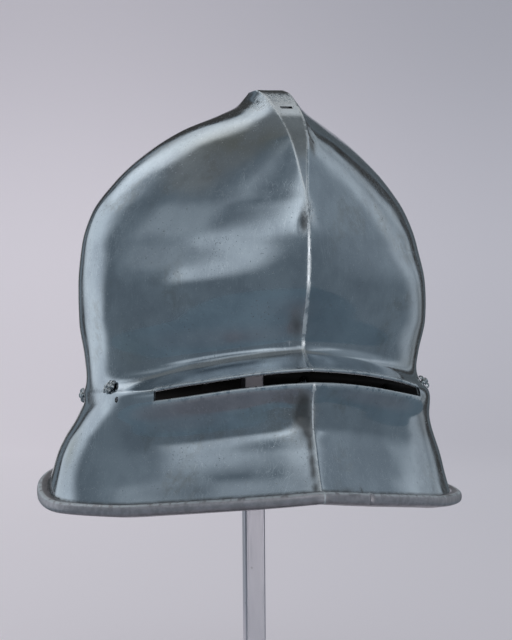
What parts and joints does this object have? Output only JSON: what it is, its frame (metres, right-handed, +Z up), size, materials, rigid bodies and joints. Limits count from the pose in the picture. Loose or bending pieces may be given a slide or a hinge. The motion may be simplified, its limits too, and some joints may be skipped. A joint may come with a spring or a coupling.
{
  "type": "sallet on a post stand",
  "caption": "One-piece steel sallet with a medial keel, eye slit, prow-shaped face, flared tail and turned rim, carried on a plain post with a square foot.",
  "frame": {"origin": "the middle of the stand's underside, under the post", "axes": "+Z up, the helmet faces -Y, +X is the wearer's left"},
  "size_m": [0.2644, 0.3339, 0.371],
  "materials": {
    "helmet_plate": "old hand polish, blue-grey, faintly pitted",
    "rivets": "darkened, worn bright on the petals",
    "stand": "satin"
  },
  "bodies": {
    "root": {"skull": "helmet_plate", "rivet_front_right": "rivets", "rivet_front_left": "rivets", "rivet_side_right": "rivets", "rivet_side_left": "rivets", "rivet_rear_right": "rivets", "rivet_rear_left": "rivets", "rivet_tail": "rivets", "post": "stand", "base_plate": "stand"}
  },
  "joints": []
}
